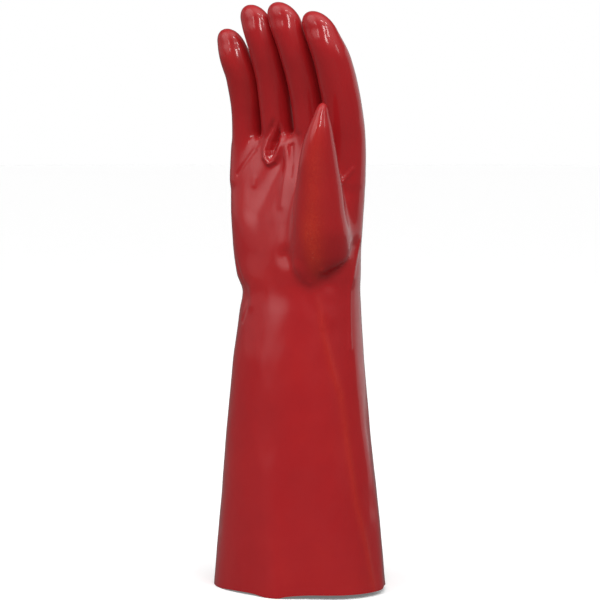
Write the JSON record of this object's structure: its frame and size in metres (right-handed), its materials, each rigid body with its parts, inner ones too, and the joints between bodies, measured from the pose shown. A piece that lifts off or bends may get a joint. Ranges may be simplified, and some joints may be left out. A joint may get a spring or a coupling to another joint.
{
  "type": "pvc coated work glove",
  "caption": "Right-hand PVC-coated gauntlet work glove, hollow skin with flared cuff, narrow wrist, curled fingers and thumb, standing on its cut cuff edge.",
  "frame": {"origin": "centre of the outer box's footprint, on the flat cut edge of the cuff that the glove stands on", "axes": "+Z from the cuff's edge to the fingertips, -Y to the palm side, +X to the thumb side; the glove is for a right hand"},
  "size_m": [0.1256, 0.0944, 0.3988],
  "materials": {
    "pvc_coating": "glossy dipped PVC, deep red"
  },
  "bodies": {
    "root": {"glove_shell": "pvc_coating"}
  },
  "joints": []
}
